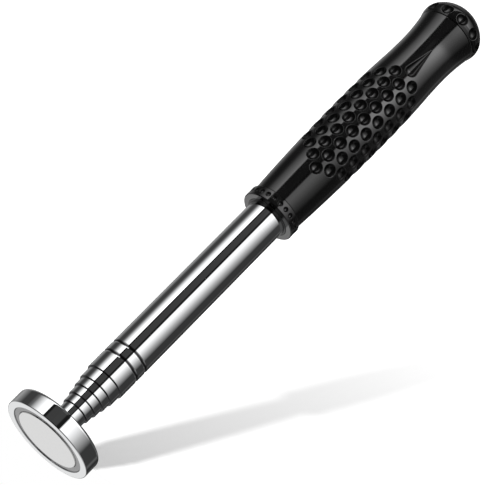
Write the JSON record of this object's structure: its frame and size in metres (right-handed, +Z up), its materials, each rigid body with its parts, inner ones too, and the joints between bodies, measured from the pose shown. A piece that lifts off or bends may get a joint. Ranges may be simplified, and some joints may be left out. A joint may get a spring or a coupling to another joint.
{
  "type": "telescoping magnetic pickup tool",
  "caption": "Pocket pickup tool: round pot magnet on nested chrome tubes that pull out of a black dimpled handle, to lift dropped steel fasteners.",
  "frame": {"origin": "centre of the magnet's working face", "axes": "+X along the tool from the magnet face to the end cap, +Z up, as the tool clings to an upright steel panel"},
  "size_m": [0.1836, 0.028, 0.028],
  "materials": {
    "chromed_cup": "polished chrome plate",
    "nickel_magnet": "satin nickel plate",
    "grey_ring": "matt",
    "zinc_steel": "zinc plate",
    "chromed_tube": "polished chrome plate",
    "bronze_spring": "drawn spring bronze",
    "black_bush": "matt",
    "black_handle": "gloss black"
  },
  "bodies": {
    "handle": {"outer_tube": "chromed_tube", "tube_plug": "zinc_steel", "tube_bush": "black_bush", "front_collar": "black_handle", "grip_sleeve": "black_handle", "end_cap": "black_handle"},
    "spring_2": {"friction_spring_2": "bronze_spring"},
    "section_2": {"section_tube_2": "chromed_tube"},
    "spring_3": {"friction_spring_3": "bronze_spring"},
    "section_3": {"section_tube_3": "chromed_tube"},
    "spring_4": {"friction_spring_4": "bronze_spring"},
    "section_4": {"section_tube_4": "chromed_tube"},
    "spring_5": {"friction_spring_5": "bronze_spring"},
    "section_5": {"section_tube_5": "chromed_tube"},
    "spring_6": {"friction_spring_6": "bronze_spring"},
    "section_6": {"section_tube_6": "chromed_tube", "tip_plug": "zinc_steel", "head_screw": "zinc_steel", "magnet_cup": "chromed_cup", "spacer_ring": "grey_ring", "magnet_disc": "nickel_magnet"}
  },
  "joints": [
    {"name": "slide_2", "type": "slide", "parent": "handle", "child": "spring_2", "axis": [-1, 0, 0], "range_m": [0, 0.1168]},
    {"name": "twist_2", "type": "hinge", "parent": "spring_2", "child": "section_2", "pos_m": [0, 0, 0], "axis": [1, 0, 0], "continuous": true},
    {"name": "slide_3", "type": "slide", "parent": "section_2", "child": "spring_3", "axis": [-1, 0, 0], "range_m": [0, 0.1293]},
    {"name": "twist_3", "type": "hinge", "parent": "spring_3", "child": "section_3", "pos_m": [0, 0, 0], "axis": [1, 0, 0], "continuous": true},
    {"name": "slide_4", "type": "slide", "parent": "section_3", "child": "spring_4", "axis": [-1, 0, 0], "range_m": [0, 0.132]},
    {"name": "twist_4", "type": "hinge", "parent": "spring_4", "child": "section_4", "pos_m": [0, 0, 0], "axis": [1, 0, 0], "continuous": true},
    {"name": "slide_5", "type": "slide", "parent": "section_4", "child": "spring_5", "axis": [-1, 0, 0], "range_m": [0, 0.1347]},
    {"name": "twist_5", "type": "hinge", "parent": "spring_5", "child": "section_5", "pos_m": [0, 0, 0], "axis": [1, 0, 0], "continuous": true},
    {"name": "slide_6", "type": "slide", "parent": "section_5", "child": "spring_6", "axis": [-1, 0, 0], "range_m": [0, 0.1374]},
    {"name": "twist_6", "type": "hinge", "parent": "spring_6", "child": "section_6", "pos_m": [0, 0, 0], "axis": [1, 0, 0], "continuous": true}
  ]
}
